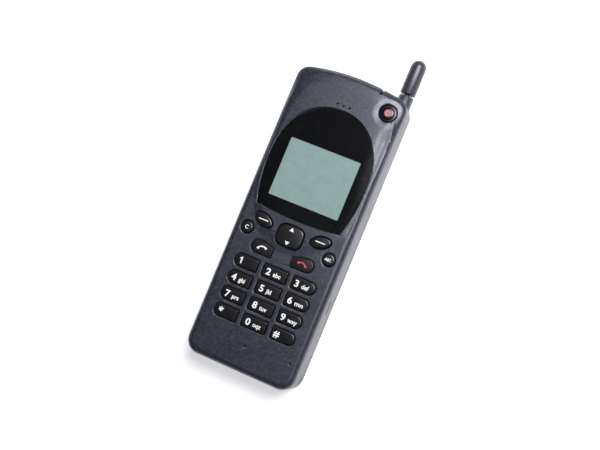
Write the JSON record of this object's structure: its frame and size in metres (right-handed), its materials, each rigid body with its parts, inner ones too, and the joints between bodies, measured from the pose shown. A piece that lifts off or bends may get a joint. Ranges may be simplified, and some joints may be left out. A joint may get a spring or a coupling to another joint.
{
  "type": "early mobile brick phone",
  "caption": "Early mobile handset: dark moulded body with a round-headed display window, sprung keypad, pull-out stub antenna and a battery that slides off the back.",
  "frame": {"origin": "below the middle of the whole object's box, on the plane of the battery's back, with the antenna pushed in", "axes": "+Z out of the keypad, +Y towards the antenna end, +X to the handset's right as seen from the front"},
  "size_m": [0.0568, 0.1694, 0.025],
  "materials": {
    "case_plastic": "satin, fine spark-eroded texture with a metallic dark grey paint",
    "battery_plastic": "satin, fine texture, dark grey",
    "battery_lid_plastic": "smooth dark grey moulding",
    "window_clear": "clear hard-coated moulding",
    "window_black": "black print behind the window",
    "display_grey_green": "satin grey-green display",
    "frame_white": "white moulding",
    "guide_clear": "clear acrylic",
    "strip_rubber": "striped conductive rubber",
    "key_rubber": "black silicone with a clear gloss coat",
    "mat_rubber": "translucent grey silicone",
    "board_green": "green solder mask over glass fibre",
    "switch_metal": "nickel-plated dome switch",
    "led_clear": "clear epoxy",
    "frame_metal": "die-cast, matt",
    "shield_tin": "bright tinned sheet",
    "chip_black": "black epoxy",
    "connector_cream": "cream moulding",
    "capsule_metal": "pressed can",
    "seal_rubber": "black soft rubber",
    "antenna_black": "satin dark grey moulding",
    "whip_coat": "black coated spring-steel rod",
    "contact_gold": "gold-plated",
    "cell_sleeve": "sleeved cell cans",
    "latch_black": "black moulding",
    "spring_steel": "zinc-plated steel",
    "holder_black": "black glass-filled moulding",
    "card_white": "white card with gold contact pads"
  },
  "bodies": {
    "handset": {"front_cover": "case_plastic", "rear_cover": "case_plastic", "display_window": "window_clear", "window_mask": "window_black", "lcd_glass": "display_grey_green", "lcd_frame": "frame_white", "light_guide": "guide_clear", "lcd_connector_strip": "strip_rubber", "keypad_mat": "mat_rubber", "keypad_board": "board_green", "main_board": "board_green", "key_switches": "switch_metal", "backlight_leds": "led_clear", "chassis_frame": "frame_metal", "logic_shield": "shield_tin", "rf_shield": "shield_tin", "board_chips": "chip_black", "buzzer": "chip_black", "board_connector": "connector_cream", "earpiece": "capsule_metal", "microphone": "capsule_metal", "earpiece_gasket": "seal_rubber", "microphone_boot": "seal_rubber", "antenna_collar": "antenna_black", "antenna_clip": "contact_gold", "battery_springs": "contact_gold", "latch_spring": "spring_steel", "case_screws": "spring_steel", "sim_holder": "holder_black", "system_connector": "holder_black"},
    "key_1": {"key_1": "key_rubber"},
    "key_2": {"key_2": "key_rubber"},
    "key_3": {"key_3": "key_rubber"},
    "key_4": {"key_4": "key_rubber"},
    "key_5": {"key_5": "key_rubber"},
    "key_6": {"key_6": "key_rubber"},
    "key_7": {"key_7": "key_rubber"},
    "key_8": {"key_8": "key_rubber"},
    "key_9": {"key_9": "key_rubber"},
    "key_star": {"key_star": "key_rubber"},
    "key_0": {"key_0": "key_rubber"},
    "key_hash": {"key_hash": "key_rubber"},
    "send_key": {"send_key": "key_rubber"},
    "end_key": {"end_key": "key_rubber"},
    "left_soft_key": {"left_soft_key": "key_rubber"},
    "right_soft_key": {"right_soft_key": "key_rubber"},
    "clear_key": {"clear_key": "key_rubber"},
    "letters_key": {"letters_key": "key_rubber"},
    "power_button": {"power_button": "key_rubber"},
    "navigation_key": {"navigation_key": "key_rubber"},
    "volume_up_key": {"volume_up_key": "key_rubber"},
    "volume_down_key": {"volume_down_key": "key_rubber"},
    "antenna": {"antenna_cap": "antenna_black", "antenna_whip": "whip_coat"},
    "battery": {"battery_case": "battery_plastic", "battery_lid": "battery_lid_plastic", "battery_cells": "cell_sleeve", "battery_contacts": "contact_gold"},
    "battery_catch": {"battery_latch": "latch_black"},
    "sim": {"sim_card": "card_white"}
  },
  "joints": [
    {"name": "key_1_press", "type": "slide", "parent": "handset", "child": "key_1", "axis": [0, 0, -1], "range_m": [0, 0.0007], "stiffness_N_per_m": 2200},
    {"name": "key_2_press", "type": "slide", "parent": "handset", "child": "key_2", "axis": [0, 0, -1], "range_m": [0, 0.0007], "stiffness_N_per_m": 2200},
    {"name": "key_3_press", "type": "slide", "parent": "handset", "child": "key_3", "axis": [0, 0, -1], "range_m": [0, 0.0007], "stiffness_N_per_m": 2200},
    {"name": "key_4_press", "type": "slide", "parent": "handset", "child": "key_4", "axis": [0, 0, -1], "range_m": [0, 0.0007], "stiffness_N_per_m": 2200},
    {"name": "key_5_press", "type": "slide", "parent": "handset", "child": "key_5", "axis": [0, 0, -1], "range_m": [0, 0.0007], "stiffness_N_per_m": 2200},
    {"name": "key_6_press", "type": "slide", "parent": "handset", "child": "key_6", "axis": [0, 0, -1], "range_m": [0, 0.0007], "stiffness_N_per_m": 2200},
    {"name": "key_7_press", "type": "slide", "parent": "handset", "child": "key_7", "axis": [0, 0, -1], "range_m": [0, 0.0007], "stiffness_N_per_m": 2200},
    {"name": "key_8_press", "type": "slide", "parent": "handset", "child": "key_8", "axis": [0, 0, -1], "range_m": [0, 0.0007], "stiffness_N_per_m": 2200},
    {"name": "key_9_press", "type": "slide", "parent": "handset", "child": "key_9", "axis": [0, 0, -1], "range_m": [0, 0.0007], "stiffness_N_per_m": 2200},
    {"name": "key_star_press", "type": "slide", "parent": "handset", "child": "key_star", "axis": [0, 0, -1], "range_m": [0, 0.0007], "stiffness_N_per_m": 2200},
    {"name": "key_0_press", "type": "slide", "parent": "handset", "child": "key_0", "axis": [0, 0, -1], "range_m": [0, 0.0007], "stiffness_N_per_m": 2200},
    {"name": "key_hash_press", "type": "slide", "parent": "handset", "child": "key_hash", "axis": [0, 0, -1], "range_m": [0, 0.0007], "stiffness_N_per_m": 2200},
    {"name": "send_key_press", "type": "slide", "parent": "handset", "child": "send_key", "axis": [0, 0, -1], "range_m": [0, 0.0007], "stiffness_N_per_m": 2200},
    {"name": "end_key_press", "type": "slide", "parent": "handset", "child": "end_key", "axis": [0, 0, -1], "range_m": [0, 0.0007], "stiffness_N_per_m": 2200},
    {"name": "left_soft_key_press", "type": "slide", "parent": "handset", "child": "left_soft_key", "axis": [0, 0, -1], "range_m": [0, 0.0007], "stiffness_N_per_m": 2200},
    {"name": "right_soft_key_press", "type": "slide", "parent": "handset", "child": "right_soft_key", "axis": [0, 0, -1], "range_m": [0, 0.0007], "stiffness_N_per_m": 2200},
    {"name": "clear_key_press", "type": "slide", "parent": "handset", "child": "clear_key", "axis": [0, 0, -1], "range_m": [0, 0.0007], "stiffness_N_per_m": 2200},
    {"name": "letters_key_press", "type": "slide", "parent": "handset", "child": "letters_key", "axis": [0, 0, -1], "range_m": [0, 0.0007], "stiffness_N_per_m": 2200},
    {"name": "power_button_press", "type": "slide", "parent": "handset", "child": "power_button", "axis": [0, 0, -1], "range_m": [0, 0.0007], "stiffness_N_per_m": 2200},
    {"name": "navigation_key_rock", "type": "hinge", "parent": "handset", "child": "navigation_key", "pos_m": [0.0004, -0.017, 0.0229], "axis": [1, 0, 0], "range_deg": [-4, 4], "stiffness_Nm_per_rad": 0.12},
    {"name": "volume_up_key_press", "type": "slide", "parent": "handset", "child": "volume_up_key", "axis": [1, 0, 0], "range_m": [0, 0.0005], "stiffness_N_per_m": 2500},
    {"name": "volume_down_key_press", "type": "slide", "parent": "handset", "child": "volume_down_key", "axis": [1, 0, 0], "range_m": [0, 0.0005], "stiffness_N_per_m": 2500},
    {"name": "antenna_pull", "type": "slide", "parent": "handset", "child": "antenna", "axis": [0, 1, 0], "range_m": [0, 0.031]},
    {"name": "battery_slide", "type": "slide", "parent": "handset", "child": "battery", "axis": [0, -1, 0], "range_m": [0, 0.1]},
    {"name": "battery_catch_slide", "type": "slide", "parent": "handset", "child": "battery_catch", "axis": [0, 1, 0], "range_m": [0, 0.002], "stiffness_N_per_m": 900, "deforming": ["latch_spring"]},
    {"name": "sim_card_slide", "type": "slide", "parent": "handset", "child": "sim", "axis": [0, -1, 0], "range_m": [0, 0.013]}
  ]
}
